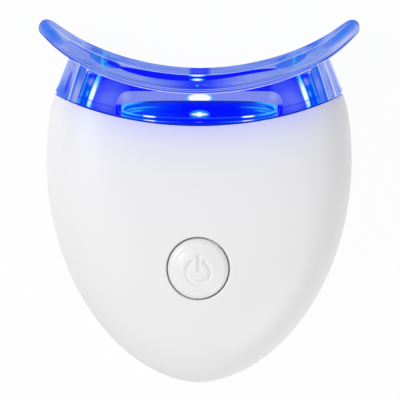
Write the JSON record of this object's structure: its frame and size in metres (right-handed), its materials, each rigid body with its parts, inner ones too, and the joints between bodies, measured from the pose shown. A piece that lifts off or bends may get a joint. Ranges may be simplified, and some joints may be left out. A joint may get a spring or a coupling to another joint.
{
  "type": "teeth whitening lamp",
  "caption": "Hand-held blue light with a curved clear mouthpiece, a rounded shield-shaped white case, a push button on the front and a sliding battery door in the back.",
  "frame": {"origin": "middle of the box round the part, at the flat back that it lies on", "axes": "+Y towards the mouthpiece, +Z out of the front with the button, X across"},
  "size_m": [0.0642, 0.0726, 0.0248],
  "materials": {
    "white_shell": "satin white",
    "white_button": "satin white",
    "clear_blue": "clear, lit blue from inside",
    "pale_housing": "smooth, pale",
    "silver": "mirror bright",
    "led_blue": "glowing blue",
    "steel": "plain",
    "cell_steel": "polished",
    "can_metal": "plain",
    "board_green": "varnished",
    "black_plastic": "moulded",
    "brown_ceramic": "plain"
  },
  "bodies": {
    "lamp": {"back_shell": "white_shell", "capacitor": "can_metal", "circuit_board": "board_green", "coin_cell_lower": "cell_steel", "coin_cell_upper": "cell_steel", "contact_negative": "steel", "contact_positive": "steel", "front_shell": "white_shell", "lamp_housing": "pale_housing", "led": "led_blue", "led_lead_left": "steel", "led_lead_right": "steel", "light_tunnel": "clear_blue", "mouthpiece": "clear_blue", "reflector": "silver", "resistor": "brown_ceramic", "shell_screw_left": "steel", "shell_screw_right": "steel", "shell_screw_tail": "steel", "switch_body": "black_plastic", "switch_cover": "steel", "timer_chip": "black_plastic"},
    "button": {"power_button": "white_button"},
    "plunger": {"switch_plunger": "black_plastic"},
    "door": {"battery_door": "white_shell"}
  },
  "joints": [
    {"name": "button_press", "type": "slide", "parent": "lamp", "child": "button", "axis": [0, 0, -1], "range_m": [0, 0.0005], "stiffness_N_per_m": 1600},
    {"name": "plunger_press", "type": "slide", "parent": "lamp", "child": "plunger", "axis": [0, 0, -1], "range_m": [0, 0.0005]},
    {"name": "door_slide", "type": "slide", "parent": "lamp", "child": "door", "axis": [0, -1, 0], "range_m": [0, 0.034]}
  ],
  "couplings": [
    {"joint": "plunger_press", "follows": "button_press", "ratio": 1}
  ]
}
